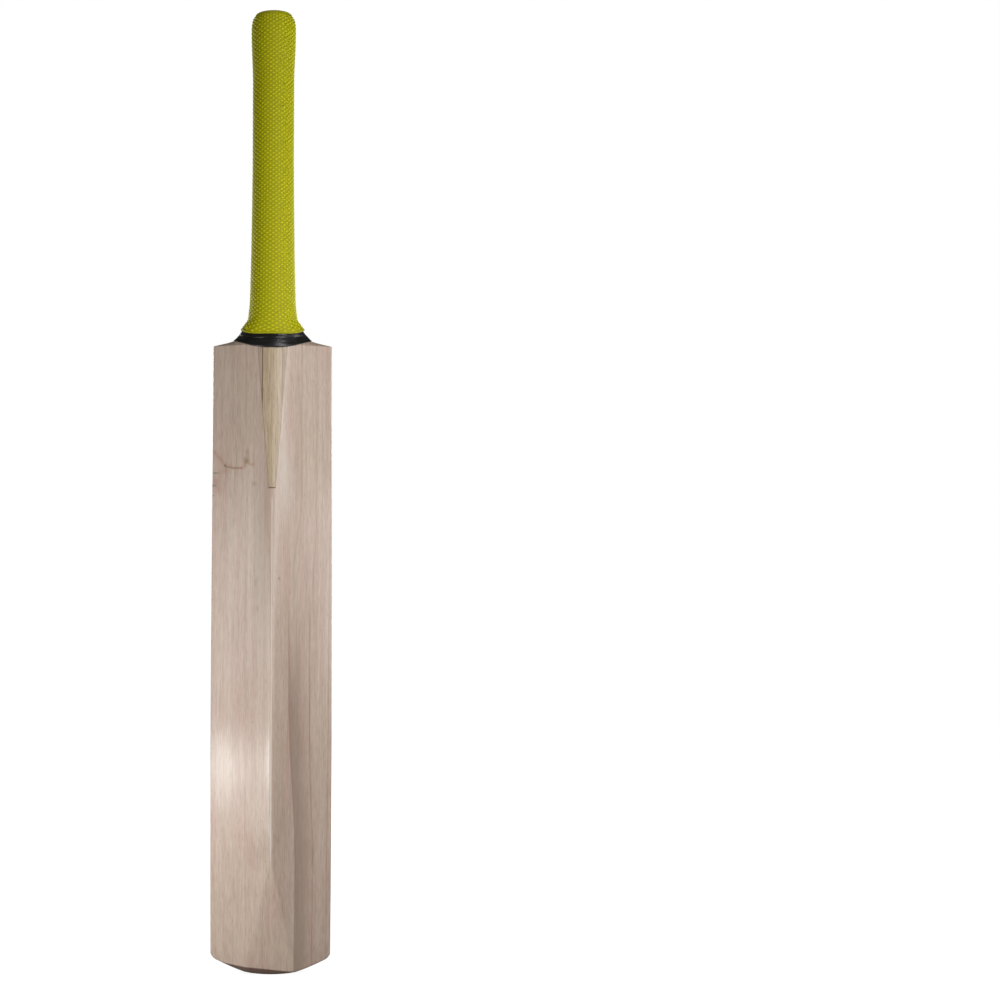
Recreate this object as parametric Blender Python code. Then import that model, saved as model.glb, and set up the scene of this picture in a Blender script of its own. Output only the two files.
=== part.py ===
"""A full-size, short-handle cricket bat, taken apart the way a bat maker puts it together.

The willow blade has a V-shaped socket cut through its shoulders. The handle is a block of twelve
cane strips, in four layers of three, glued up with three rubber springs between the layers. Its
lower end is a wedge that fills the socket. Twine is wound round the cane, two windings of black
tape cover the throat, and a rubber grip is rolled over them all.

Frame: metres, +Z up along the handle's axis, -Y is the hitting face and +Y the back. The origin is
on the handle's axis, in the middle of the grip, where the hands hold the bat.

Heights along the bat are written h: millimetres above the shoulder line, negative down the blade.
"""

import math

import bmesh
import bpy
from mathutils import Vector

MM = 0.001

# Driving dimensions, in millimetres.
BLADE_LENGTH = 559.0
HANDLE_LENGTH = 293.0
HOLD_HEIGHT = 150.0
BLADE_HALF_WIDTH_TOP = 52.25
BLADE_HALF_WIDTH_TOE = 54.0
GLUE_GAP = 0.3

# The blade's face: an arc that leaves the shoulder leaning a little forward.
FACE_AT_SHOULDER = -13.2
FACE_LEAN = 0.027
BOW_RADIUS = 6700.0
FACE_CROWN = 1.2
FACE_CORNER_RADIUS = 3.0
BACK_CORNER_CHAMFER = 1.2

# The toe: one arc across the width, square to the face.
TOE_RISE = 12.6
TOE_REACH = 110.0
TOE_CORNER_RISE = 1.8
TOE_CORNER_WIDTH = 3.5
TOE_EDGE_RADIUS = 2.5

# The V-shaped splice between handle and blade.
SPLICE_LENGTH = 125.0
SPLICE_HALF_WIDTH_TOP = 12.75
SPLICE_HALF_WIDTH_TIP = 2.75
EAR_TOP = 34.0

# The cane block: three strips across, four layers deep, with a rubber spring between layers.
CANE_CENTRE_HALF_WIDTH = 8.7
SPRING_PLANES = (-8.7, 0.0, 8.7)
SPRING_THICKNESS = 1.6

# The layers round the handle. Each rim curves up in front view: (height in the middle, rise at the
# sides, half width where it is measured, power of the curve).
TAPE_THICKNESS = 0.7
TAPE_RIM = (-3.2, 6.7, 33.5, 2)
COLLAR_RIM = (4.5, 3.5, 31.0, 2)
GRIP_RIM = (8.0, 3.8, 29.5, 3)
TAPE_TOP = 21.0
TWINE_THICKNESS = 1.0
TWINE_BOTTOM = 22.0
TWINE_TOP = 276.0
GRIP_THICKNESS = 2.0
CUFF_EXTRA = 1.35
CUFF_FROM = 230.0
CUFF_BY = 275.0

# The domed top of the handle, and of the grip over it, with a small hole in the rubber.
DOME_FROM = 277.0
CANE_TOP = 290.7
DOME_SQUARENESS = 0.13
GRIP_HOLE_RADIUS = 6.0

# Curves along the blade, as (distance below the shoulder, value).
EDGE_THICKNESS = ((0, 12.0), (60, 14.0), (140, 22.5), (240, 29.0), (345, 35.0), (450, 29.5), (560, 17.0))
SPINE_DEPTH = ((0, 33.0), (140, 41.5), (240, 51.0), (345, 60.0), (420, 56.0), (500, 39.5), (560, 26.5))
CREST_ROUNDING = ((0, 17.0), (60, 14.0), (140, 6.0), (220, 2.2), (560, 1.8))
FACET_HALF_WIDTH = ((0, 2.6), (445, 2.6), (494, 9.0), (513, 13.2), (535, 18.5), (560, 23.5))
CREST_HALF_WIDTH = FACET_HALF_WIDTH[0][1]
FACET_FROM = 6.0
FLANK_HOLLOW = ((0, 1.0), (300, 1.3), (560, 1.2))

# The outline in front view from the shoulder tops up through the throat, as (height, half width),
# and the handle above it.
THROAT = ((-0.6, 52.25), (0.9, 46.0), (2.7, 38.3), (5.4, 31.2), (9, 27.2), (12, 25.0), (14.1, 23.0),
          (17.5, 20.4), (22, 17.8), (34, 16.8))
HANDLE_HALF_WIDTH = ((34, 16.8), (80, 15.7), (130, 15.0), (170, 14.7), (296, 14.7))
HANDLE_HALF_DEPTH = ((-3, 17.2), (34, 17.2), (85, 16.1), (130, 15.4), (170, 14.9), (296, 14.9))
ROUND_FROM = -0.6
ROUND_BY = 14.0

# How finely the skin is drawn.
FACE_PARTS = 5
CORNER_ANGLES = (30.0, 60.0, 90.0)
DOME_ANGLES = (25.0, 45.0, 60.0, 72.0, 82.0)
FLANK_SHARES = (0.74, 0.5, 0.3, 0.15, 0.05, 0.0)
THROAT_RINGS = 15
BLADE_STEP = 18.0
HANDLE_STEP = 36.0
SLOPE_STEP = 0.1
EDGE_MIDDLE = 0.6
RIM_PARTS = 32
RIM_SPAN = 1.15

# Cutting guides reach this far past the bat, across it and along it.
GUIDE_REACH = 60.0


def smooth_curve(points):
    """A function through the points that never overshoots them: a monotone cubic."""
    xs = [float(x) for x, _ in points]
    ys = [float(y) for _, y in points]
    steps = [(ys[i + 1] - ys[i]) / (xs[i + 1] - xs[i]) for i in range(len(xs) - 1)]
    slopes = [steps[0]]
    for before, after in zip(steps, steps[1:]):
        turning = before * after <= 0
        slopes.append(0.0 if turning else 2 * before * after / (before + after))
    slopes.append(steps[-1])

    def value(x):
        x = min(max(x, xs[0]), xs[-1])
        i = max(k for k in range(len(xs) - 1) if xs[k] <= x)
        width = xs[i + 1] - xs[i]
        t = (x - xs[i]) / width
        start = ys[i] * (1 + 2 * t) * (1 - t) ** 2 + slopes[i] * width * t * (1 - t) ** 2
        end = ys[i + 1] * t * t * (3 - 2 * t) + slopes[i + 1] * width * t * t * (t - 1)
        return start + end

    return value


def smooth_step(x, low, high):
    t = min(max((x - low) / (high - low), 0.0), 1.0)
    return t * t * (3 - 2 * t)


edge_thickness = smooth_curve(EDGE_THICKNESS)
spine_depth = smooth_curve(SPINE_DEPTH)
crest_rounding = smooth_curve(CREST_ROUNDING)
facet_half_width = smooth_curve(FACET_HALF_WIDTH)
flank_hollow = smooth_curve(FLANK_HOLLOW)
throat_half_width = smooth_curve(THROAT)
handle_half_width = smooth_curve(HANDLE_HALF_WIDTH)
handle_half_depth = smooth_curve(HANDLE_HALF_DEPTH)


def face_y(h):
    """Where the middle of the face lies."""
    below = max(-h, 0.0)
    return FACE_AT_SHOULDER - FACE_LEAN * below - below * below / (2 * BOW_RADIUS)


def half_width(h):
    """Half the width of the wood in front view: the blade, the throat and the handle."""
    if h > EAR_TOP:
        return handle_half_width(h)
    if h > THROAT[0][0]:
        return throat_half_width(h)
    share = (THROAT[0][0] - h) / (BLADE_LENGTH + THROAT[0][0])
    return BLADE_HALF_WIDTH_TOP + share * (BLADE_HALF_WIDTH_TOE - BLADE_HALF_WIDTH_TOP)


def back_height(x, half, h):
    """How far the back stands behind the face: a hollow flank up to a rounded crest or a flat facet."""
    below = max(-h, 0.0)
    edge, spine = edge_thickness(below), spine_depth(below)
    rounding = crest_rounding(below)
    hollow = flank_hollow(below)

    def climb(distance):
        reach = math.hypot(half, rounding)
        return max(1 - math.hypot(distance, rounding) / reach, 0.0) ** hollow

    facet = facet_half_width(below)
    top = climb(facet - CREST_HALF_WIDTH * (1 - smooth_step(facet, CREST_HALF_WIDTH, FACET_FROM)))
    return edge + (spine - edge) * min(climb(x) / top, 1.0)


def blade_half_section(h, half):
    """The right half of the blade's outline, from the middle of the face to the crest of the spine."""
    face = face_y(h)
    edge = edge_thickness(max(-h, 0.0))
    radius = FACE_CORNER_RADIUS
    flat = half - radius
    shares = [part / FACE_PARTS for part in range(FACE_PARTS + 1)]
    outline = [(flat * share, face + FACE_CROWN * share**2) for share in shares]
    for degrees in CORNER_ANGLES:
        angle = math.radians(degrees)
        x = flat + radius * math.sin(angle)
        y = face + FACE_CROWN + radius * (1 - math.cos(angle))
        outline.append((x, y))
    outline.append((half, face + edge * EDGE_MIDDLE))
    outline.append((half, face + edge - BACK_CORNER_CHAMFER))
    facet = facet_half_width(max(-h, 0.0))
    places = [half - BACK_CORNER_CHAMFER]
    places += [facet + (half - facet) * share for share in FLANK_SHARES]
    places.append(0.0)
    outline += [(x, face + back_height(x, half, h)) for x in places]
    return outline


def round_half_section(h, count):
    """The right half of the handle's oval outline, with as many points as the blade's."""
    wide, deep = half_width(h), handle_half_depth(h)
    angles = [math.pi * i / (count - 1) for i in range(count)]
    return [(wide * math.sin(a), -deep * math.cos(a)) for a in angles]


def half_section(h):
    """The wood's outline at a height: the blade's, turning into the handle's oval through the throat."""
    half = half_width(h)
    blade = blade_half_section(h, half)
    handle = round_half_section(h, len(blade))
    turned = smooth_step(h, ROUND_FROM, ROUND_BY)
    mixed = [((1 - turned) * bx + turned * rx, (1 - turned) * by + turned * ry)
             for (bx, by), (rx, ry) in zip(blade, handle)]
    widest = max(x for x, _ in mixed)
    return [(x * half / widest, y) for x, y in mixed]


def section(h):
    """The whole outline, counter-clockwise seen from above, starting at the middle of the face."""
    right = half_section(h)
    left = [(-x, y) for x, y in reversed(right[1:-1])]
    return right + left


def skin_point(i, h, distance):
    """Point i of the outline at a height, moved off the wood along the surface's own normal."""
    here, above, below = section(h), section(h + SLOPE_STEP), section(h - SLOPE_STEP)
    x, y = here[i]
    (ax, ay), (bx, by) = here[i - 1], here[(i + 1) % len(here)]
    around = Vector((bx - ax, by - ay, 0.0))
    upward = Vector((above[i][0] - below[i][0], above[i][1] - below[i][1], 2 * SLOPE_STEP))
    return Vector((x, y, h)) + around.cross(upward).normalized() * distance


def place(x, y, h):
    """A point in metres in the bat's frame."""
    return (x * MM, y * MM, (h - HOLD_HEIGHT) * MM)


def ring(h, distance=0.0):
    """The outline at a height, moved off the wood by a distance."""
    return [place(*skin_point(i, h, distance)) for i in range(len(section(h)))]


def dome_ring(degrees, top, distance=0.0):
    """A ring of a domed end: full size at 0 degrees, closing in to its top at 90."""
    angle = math.radians(degrees)
    share = math.cos(angle) ** (2 * DOME_SQUARENESS)
    height = (DOME_FROM + (top - DOME_FROM) * math.sin(angle) - HOLD_HEIGHT) * MM
    return [(x * share, y * share, height) for x, y, _ in ring(DOME_FROM, distance)]


def steps_between(low, high, step):
    count = max(1, round((high - low) / step))
    return [low + (high - low) * i / count for i in range(count + 1)]


def throat_levels(low, high):
    """Ring heights through the throat, closest together where it flares out over the shoulders."""
    span = EAR_TOP - THROAT[0][0]
    levels = [THROAT[0][0] + span * (k / (THROAT_RINGS - 1)) ** 2 for k in range(THROAT_RINGS)]
    return [h for h in levels if low <= h <= high]


def material(name, colour, roughness, metallic=0.0):
    made = bpy.data.materials.new(name)
    made.use_nodes = True
    shader = made.node_tree.nodes["Principled BSDF"]
    shader.inputs["Base Color"].default_value = (*colour, 1.0)
    shader.inputs["Roughness"].default_value = roughness
    shader.inputs["Metallic"].default_value = metallic
    return made


def object_from_mesh(name, mesh, look=None):
    made = bpy.data.objects.new(name, mesh)
    bpy.context.scene.collection.objects.link(made)
    if look:
        mesh.materials.append(look)
    mesh.shade_smooth()
    mesh.set_sharp_from_angle(angle=math.radians(30))
    return made


def close_bent_end(bm, loop):
    """Close the toe's outline with faces that run from its front to its back, so its arc stays smooth."""
    crest = len(loop) // 2
    for i in range(crest // 2):
        for a, b, c, d in ((i, i + 1, crest - i - 1, crest - i), (-i, -i - 1, crest + i + 1, crest + i)):
            corners = dict.fromkeys([loop[a], loop[b], loop[c], loop[d]])
            bm.faces.new(list(corners))


def loft(name, rings, look=None, joined_ends=False, bent_end=False):
    """A solid skinned over rings of points, capped at both ends, or joined end to end as a sleeve is."""
    bm = bmesh.new()
    loops = [[bm.verts.new(point) for point in points] for points in rings]
    pairs = list(zip(loops, loops[1:]))
    if joined_ends:
        pairs.append((loops[-1], loops[0]))
    elif bent_end:
        bm.faces.new(loops[0])
        close_bent_end(bm, loops[-1])
    else:
        bm.faces.new(loops[0])
        bm.faces.new(loops[-1])
    for low, high in pairs:
        for i in range(len(low)):
            j = (i + 1) % len(low)
            bm.faces.new((low[i], low[j], high[j], high[i]))
    bmesh.ops.recalc_face_normals(bm, faces=bm.faces)
    mesh = bpy.data.meshes.new(name)
    bm.to_mesh(mesh)
    bm.free()
    return object_from_mesh(name, mesh, look)


def slab(name, low, high):
    """A plain box between two corners, as a cutting guide."""
    (x0, y0, z0), (x1, y1, z1) = place(*low), place(*high)
    rings = [[(x0, y0, z), (x1, y0, z), (x1, y1, z), (x0, y1, z)] for z in (z0, z1)]
    return guide(loft(name, rings))


def guide(cutter):
    cutter.hide_render = True
    cutter.display_type = "WIRE"
    return cutter


def cut(piece, cutter, operation):
    modifier = piece.modifiers.new(cutter.name, "BOOLEAN")
    modifier.operation = operation
    modifier.solver = "EXACT"
    modifier.object = cutter


def splice_wedge(name, gap, top):
    """The V of the splice as a cutting guide, its flanks and its tip moved outwards by a gap."""
    slope = (SPLICE_HALF_WIDTH_TOP - SPLICE_HALF_WIDTH_TIP) / SPLICE_LENGTH
    reach = GUIDE_REACH
    rings = []
    for h in (-SPLICE_LENGTH - gap, top):
        half = SPLICE_HALF_WIDTH_TOP + slope * h + gap
        corners = ((-half, -reach), (half, -reach), (half, reach), (-half, reach))
        rings.append([place(x, y, h) for x, y in corners])
    return guide(loft(name, rings))


def toe_rise(x):
    """How far the toe's arc, with its rounded corners, has risen at a distance from the middle."""
    half = BLADE_HALF_WIDTH_TOE
    radius = (half**2 + TOE_RISE**2) / (2 * TOE_RISE)
    arc = radius - math.sqrt(radius**2 - min(abs(x), half) ** 2)
    corner = TOE_CORNER_RISE * smooth_step(abs(x), half - TOE_CORNER_WIDTH, half)
    return arc + corner


def blade_ring(h, inset=0.0):
    """A ring of the blade that bends towards the toe's arc, and leans square to the face there."""
    bend = smooth_step(-h, BLADE_LENGTH - TOE_REACH, BLADE_LENGTH)
    lean = FACE_LEAN + BLADE_LENGTH / BOW_RADIUS
    middle = face_y(h)
    points = []
    for i, (x, y) in enumerate(section(h)):
        rise = bend * (toe_rise(x) - lean * (y - middle))
        points.append(place(*skin_point(i, h + rise, -inset)))
    return points


def make_blade(look):
    below = steps_between(-THROAT[0][0] + 6.0, BLADE_LENGTH - TOE_EDGE_RADIUS, BLADE_STEP)
    rings = [ring(h) for h in reversed(throat_levels(THROAT[0][0], EAR_TOP))]
    rings += [blade_ring(-distance) for distance in below]
    for degrees in (45.0, 90.0):
        angle = math.radians(degrees)
        drop = TOE_EDGE_RADIUS * (1 - math.sin(angle))
        rings.append(blade_ring(-BLADE_LENGTH + drop, TOE_EDGE_RADIUS * (1 - math.cos(angle))))
    blade = loft("blade", rings, look, bent_end=True)
    cut(blade, splice_wedge("splice_socket", GLUE_GAP / 2, EAR_TOP + 20), "DIFFERENCE")


def handle_blank(name, look):
    """The whole handle before it is split into strips: the wedge, the throat and the round grip length."""
    heights = steps_between(-SPLICE_LENGTH + GLUE_GAP / 2, THROAT[0][0] - 4.0, BLADE_STEP)
    heights += throat_levels(THROAT[0][0], EAR_TOP)
    heights += steps_between(EAR_TOP + 8.0, DOME_FROM, HANDLE_STEP)
    rings = [ring(h) for h in heights]
    rings += [dome_ring(degrees, CANE_TOP) for degrees in DOME_ANGLES]
    blank = loft(name, rings, look)
    cut(blank, bpy.data.objects["splice_tenon"], "INTERSECT")
    return blank


def make_handle_block(cane_look, spring_look):
    """Twelve cane strips and three rubber springs, each cut from the handle's outline by its own slab."""
    tenon = splice_wedge("splice_tenon", -GLUE_GAP / 2, EAR_TOP + GLUE_GAP)
    far, gap = GUIDE_REACH, GLUE_GAP / 2
    low, high = -SPLICE_LENGTH - far, HANDLE_LENGTH + far
    collar = slab("handle_above_ears", (-far, -far, EAR_TOP + gap), (far, far, high))
    cut(tenon, collar, "UNION")
    half = SPRING_THICKNESS / 2
    for name, y in zip(("front", "middle", "back"), SPRING_PLANES):
        spring = handle_blank(f"rubber_spring_{name}", spring_look)
        box = slab(f"slab_spring_{name}", (-far, y - half, low), (far, y + half, high))
        cut(spring, box, "INTERSECT")
    faces = [-far]
    for y in SPRING_PLANES:
        faces += [y - half - GLUE_GAP, y + half + GLUE_GAP]
    faces.append(far)
    layers = list(zip(faces[0::2], faces[1::2]))
    line = CANE_CENTRE_HALF_WIDTH
    columns = (("left", -far, -line - gap), ("centre", -line + gap, line - gap), ("right", line + gap, far))
    for layer, (y0, y1) in zip(("face", "inner_face", "inner_back", "back"), layers):
        for column, x0, x1 in columns:
            strip = handle_blank(f"cane_{layer}_{column}", cane_look)
            cut(strip, slab(f"slab_{layer}_{column}", (x0, y0, low), (x1, y1, high)), "INTERSECT")


def rim_guide(name, rim):
    """A prism from front to back, with a curved bottom, that trims a sleeve to its lower rim."""
    middle, rise, half, power = rim
    reach, top = GUIDE_REACH, HANDLE_LENGTH + GUIDE_REACH
    curve = []
    for k in range(RIM_PARTS + 1):
        share = RIM_SPAN * (2 * k / RIM_PARTS - 1)
        curve.append((half * share, middle + rise * abs(share) ** power))
    profile = [(reach, top), (-reach, top), (-reach, curve[0][1]), *curve, (reach, curve[-1][1])]
    return guide(loft(name, [[place(x, y, h) for x, h in profile] for y in (-reach, reach)]))


def make_twine(look):
    near, far = GLUE_GAP, GLUE_GAP + TWINE_THICKNESS
    heights = [TWINE_BOTTOM] + throat_levels(TWINE_BOTTOM + 1, EAR_TOP)
    heights += steps_between(EAR_TOP + 8, TWINE_TOP, HANDLE_STEP)
    outer = [ring(h, far) for h in heights]
    inner = [ring(h, near) for h in reversed(heights)]
    loft("twine_binding", outer + inner, look, joined_ends=True)


def make_tape(name, look, near, rim):
    """One winding of the throat tape, from its arched lower rim up under the grip."""
    heights = throat_levels(rim[0] - 3.0, TAPE_TOP - 0.5) + [TAPE_TOP]
    outer = [ring(h, near + TAPE_THICKNESS) for h in heights]
    inner = [ring(h, near) for h in reversed(heights)]
    tape = loft(name, outer + inner, look, joined_ends=True)
    cut(tape, rim_guide(f"rim_of_{name}", rim), "INTERSECT")


def grip_bore(h):
    """How far the inside of the grip stands off the wood: over two tapes low down, the twine above."""
    over_tape = 3 * GLUE_GAP + 2 * TAPE_THICKNESS
    over_twine = 2 * GLUE_GAP + TWINE_THICKNESS
    return over_tape + (over_twine - over_tape) * smooth_step(h, TAPE_TOP + 1.0, EAR_TOP + 8)


def grip_skin(h):
    """How far the outside of the grip stands off the wood: further in the cuff at its top."""
    cuff = CUFF_EXTRA * smooth_step(h, CUFF_FROM, CUFF_BY)
    return grip_bore(h) + GRIP_THICKNESS + cuff


def hole_angle(radius):
    """The dome angle at which a ring of that full radius has closed in to the grip's hole."""
    return math.degrees(math.acos((GRIP_HOLE_RADIUS / radius) ** (0.5 / DOME_SQUARENESS)))


def make_grip(look):
    flare = throat_levels(GRIP_RIM[0] - 3.0, EAR_TOP)
    shaft = steps_between(EAR_TOP + 8, CUFF_FROM, HANDLE_STEP) + [CUFF_BY, DOME_FROM]
    outer = [ring(h, grip_skin(h)) for h in flare + shaft]
    inner = [ring(h, grip_bore(h)) for h in flare + shaft]
    under = CANE_TOP + GLUE_GAP
    for skin, top, rings in ((grip_skin, HANDLE_LENGTH, outer), (grip_bore, under, inner)):
        distance = skin(DOME_FROM)
        hole = hole_angle(handle_half_width(DOME_FROM) + distance)
        angles = [degrees for degrees in DOME_ANGLES if degrees < hole - 3] + [hole]
        rings += [dome_ring(degrees, top, distance) for degrees in angles]
    grip = loft("grip", outer + inner[::-1], look, joined_ends=True)
    cut(grip, rim_guide("rim_of_grip", GRIP_RIM), "INTERSECT")


def main():
    for found in list(bpy.data.objects):
        bpy.data.objects.remove(found)
    willow = material("willow", (0.66, 0.52, 0.42), 0.5)
    cane = material("cane", (0.60, 0.44, 0.26), 0.55)
    spring = material("spring_rubber", (0.05, 0.05, 0.05), 0.8)
    twine = material("twine", (0.62, 0.56, 0.44), 0.9)
    tape = material("tape", (0.02, 0.02, 0.022), 0.3)
    grip = material("grip_rubber", (0.48, 0.52, 0.03), 0.6)
    make_blade(willow)
    make_handle_block(cane, spring)
    make_twine(twine)
    make_tape("throat_tape_lower", tape, GLUE_GAP, TAPE_RIM)
    make_tape("throat_tape_upper", tape, 2 * GLUE_GAP + TAPE_THICKNESS, COLLAR_RIM)
    make_grip(grip)


main()
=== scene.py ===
"""The cricket bat's real surfaces over its CAD frame, upright on a pale floor and seen from behind.

Lengths are millimetres until they reach a mesh. Heights are written h and count from the shoulder
line: positive up the handle, negative down the blade. A place round the outline is written s: 0 is
the middle of the face, CREST is the crest of the spine, and ROUND is the face again, going round by
the right. On half the outline it is written q, from 0 to CREST.
"""

import math

import bmesh
import bpy
import numpy as np
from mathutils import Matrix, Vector


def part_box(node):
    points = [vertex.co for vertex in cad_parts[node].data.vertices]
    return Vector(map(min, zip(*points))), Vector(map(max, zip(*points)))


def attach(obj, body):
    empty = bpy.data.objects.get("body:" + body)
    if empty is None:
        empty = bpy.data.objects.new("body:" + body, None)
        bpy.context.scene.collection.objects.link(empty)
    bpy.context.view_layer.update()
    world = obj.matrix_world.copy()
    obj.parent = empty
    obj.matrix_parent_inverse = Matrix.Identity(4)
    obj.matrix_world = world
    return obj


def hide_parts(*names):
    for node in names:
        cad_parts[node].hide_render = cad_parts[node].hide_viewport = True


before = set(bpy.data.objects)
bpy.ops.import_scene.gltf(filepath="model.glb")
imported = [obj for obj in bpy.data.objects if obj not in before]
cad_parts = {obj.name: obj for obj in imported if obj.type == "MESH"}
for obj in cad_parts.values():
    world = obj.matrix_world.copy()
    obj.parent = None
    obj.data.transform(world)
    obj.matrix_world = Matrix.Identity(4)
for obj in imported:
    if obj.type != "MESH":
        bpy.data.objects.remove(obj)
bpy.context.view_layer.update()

MM = 0.001
HOLD_HEIGHT = 150.0
GAP = 0.3
GLUED_GAP = 0.04
WOOD_SHARP_ANGLE = 28.0
FAR = 60.0  # past every surface, for cutters

# Places round the outline: its crest, its whole round, and where each stretch of half of it ends.
CREST = 18.0
ROUND = 36.0
FACE_ENDS, CORNER_ENDS, EDGE_ENDS, BEND_ENDS, FLANK_ENDS = 5, 8, 10, 11, 17

# The CAD frame's own sizes, in millimetres and in heights.
TOE_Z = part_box("blade")[0].z
HANDLE_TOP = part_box("grip")[1].z / MM + HOLD_HEIGHT
CANE_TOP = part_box("cane_inner_face_centre")[1].z / MM + HOLD_HEIGHT
BLADE_HALF_WIDTH_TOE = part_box("blade")[1].x / MM
SPLICE_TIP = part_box("cane_face_centre")[0].z / MM + HOLD_HEIGHT

# The blade. Tables hold (distance below the shoulder, size); those of the throat and the handle hold
# (height, size).
BLADE_LENGTH = 559.0
BLADE_HALF_WIDTH_TOP = 52.25
FACE_AT_SHOULDER = -13.2
FACE_LEAN = 0.027
BOW_RADIUS = 6700.0
FACE_CROWN = 1.2
FACE_CORNER = 3.0
BACK_CORNER = 1.2
EDGE_THICKNESS = ((0, 12.0), (60, 14.0), (140, 22.5), (240, 29.0), (345, 35.0), (450, 29.5), (560, 17.0))
SPINE_DEPTH = ((0, 33.0), (140, 41.5), (240, 51.0), (345, 60.0), (420, 56.0), (500, 39.5), (560, 26.5))
CREST_ROUNDING = ((0, 17.0), (60, 14.0), (140, 6.0), (220, 2.2), (560, 1.8))
FACET_HALF_WIDTH = ((0, 2.6), (445, 2.6), (494, 9.0), (513, 13.2), (535, 18.5), (560, 23.5))
CREST_HALF_WIDTH = FACET_HALF_WIDTH[0][1]
FACET_FROM = 6.0
FLANK_HOLLOW = ((0, 1.0), (300, 1.3), (560, 1.2))
FLANK_SHARE = ((11, 1.0), (12, 0.757), (13, 0.512), (14, 0.307), (15, 0.154), (16, 0.051), (17, 0.0))
TOE_RISE = 12.6
TOE_REACH = 110.0
TOE_CORNER_RISE = 1.8
TOE_CORNER_WIDTH = 3.5
TOE_EDGE_RADIUS = 2.5

# The throat and the handle. The ears are the blade's wood beside the handle, up to their top.
EAR_TOP = 34.0
HANDLE_FROM = EAR_TOP + 8
THROAT = ((-0.6, 52.25), (0.9, 46.0), (2.7, 38.3), (5.4, 31.2), (9, 27.2), (12, 25.0), (14.1, 23.0),
          (17.5, 20.4), (22, 17.8), (34, 16.8))
HANDLE_HALF_WIDTH = ((34, 16.8), (80, 15.7), (130, 15.0), (170, 14.7), (296, 14.7))
HANDLE_HALF_DEPTH = ((-3, 17.2), (34, 17.2), (85, 16.1), (130, 15.4), (170, 14.9), (296, 14.9))
ROUND_FROM = -0.6
ROUND_BY = 14.0
DOME_FROM = 277.0
DOME_SQUARENESS = 0.13

# The splice and the cane.
SPLICE_HALF_WIDTH_TOP = 12.75
SPLICE_HALF_WIDTH_TIP = 2.75
SPLICE_SLOPE = (SPLICE_HALF_WIDTH_TOP - SPLICE_HALF_WIDTH_TIP) / -SPLICE_TIP
CANE_CENTRE_HALF_WIDTH = 8.7
SPRING_PLANES = (-8.7, 0.0, 8.7)
SPRING_THICKNESS = 1.6

# The layers round the handle. A rim is (height in the middle, rise at the sides, half width there,
# power of its curve).
TAPE_THICKNESS = 0.7
TAPE_RIM = (-3.2, 6.7, 33.5, 2)
COLLAR_RIM = (4.5, 3.5, 31.0, 2)
RIM_SPAN = 1.15
RIM_ROUNDS = 30
GRIP_RIM = (8.0, 3.8, 29.5, 3)
TAPE_TOP = 21.0
TAPE_COLUMNS = 180
TAPE_ROWS = 34
TAPE_ROW_SPREAD = 1.3
TAPE_RIM_WOBBLE = 0.25
TAPE_TURN_HEIGHT = 5.2
TAPE_LAP = 0.22
TAPE_CREASE = 0.10
TAPE_ROUNDING = 0.35
TAPE_SUNK = 0.15
TAPE_SHARP_ANGLE = 50.0
TWINE_THICKNESS = 1.0
TWINE_BOTTOM = 22.0
TWINE_TOP = 276.0
TWINE_PITCH = 1.6
TWINE_COLUMNS = 40
TWINE_ROWS_A_TURN = 5
TWINE_VALLEY = 0.25
TWINE_SHARP_ANGLE = 60.0
GRIP_THICKNESS = 2.0
CUFF_EXTRA = 1.35
CUFF_FROM = 230.0
CUFF_BY = 275.0

# The grip's raised diamonds. Each has a foot and a top, as shares of its cell across and along, and
# of its height below the tops. They go on over the dome's shoulder and fade out there.
NUBS_AROUND = 22
NUB_ROW = 1.83
NUB_HEIGHT = 0.85
NUB_RINGS = ((0.52, 0.58, 0.9), (0.24, 0.32, 0.0))
NUBS_PAST_DOME_FOOT = 18.0
NUB_FADE = 8.0
GRIP_SHARP_ANGLE = 75.0
RIM_FADE = 70.0

# The way over the dome: its length, the angle it turns through, and how its pace changes.
DOME_WAY = 31.0
DOME_TURN = 88.0
DOME_PACE = 0.8

# The bead round the grip's rim as (rise over the rim, inset), the crown's way on from the nubs, and
# the lip of its hole as (radius, drop from the top).
GRIP_BEAD = 0.7
BEAD_PROFILE = ((0.5, 1.7), (0.05, 1.3), (0.0, 0.75), (0.25, 0.45), (0.75, 0.3), (1.25, 0.45))
CROWN_STEPS = (1.0, 3.0, 5.0)
LIP_PROFILE = ((7.6, 0.7), (6.8, 0.9), (6.2, 1.5), (6.2, 2.0), (7.0, 2.25))

# How finely the blade is drawn: samples in each stretch of half the outline, and row spacing.
STRETCHES = ((0, 5, 30), (5, 8, 8), (8, 9, 3), (9, 10, 3), (10, 11, 4), (11, 17, 30), (17, 18, 4))
BLADE_ROW = 3.0
TOE_ROW = 2.0
THROAT_ROWS = 60


# ---------------------------------------------------------------- shape


def smooth_curve(points):
    """A monotone cubic through the points, for arrays."""
    xs, ys = np.array(points, float).T
    steps = np.diff(ys) / np.diff(xs)
    slopes = np.concatenate([steps[:1], np.zeros(len(steps) - 1), steps[-1:]])
    for i, (before, after) in enumerate(zip(steps, steps[1:]), 1):
        if before * after > 0:
            slopes[i] = 2 * before * after / (before + after)

    def value(x):
        x = np.clip(x, xs[0], xs[-1])
        i = np.clip(np.searchsorted(xs, x, side="right") - 1, 0, len(xs) - 2)
        width = xs[i + 1] - xs[i]
        t = (x - xs[i]) / width
        start = ys[i] * (1 + 2 * t) + slopes[i] * width * t
        end = ys[i + 1] * (3 - 2 * t) + slopes[i + 1] * width * (t - 1)
        return start * (1 - t) ** 2 + end * t**2

    return value


def smooth_step(x, low, high):
    t = np.clip((x - low) / (high - low), 0.0, 1.0)
    return t * t * (3 - 2 * t)


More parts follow.
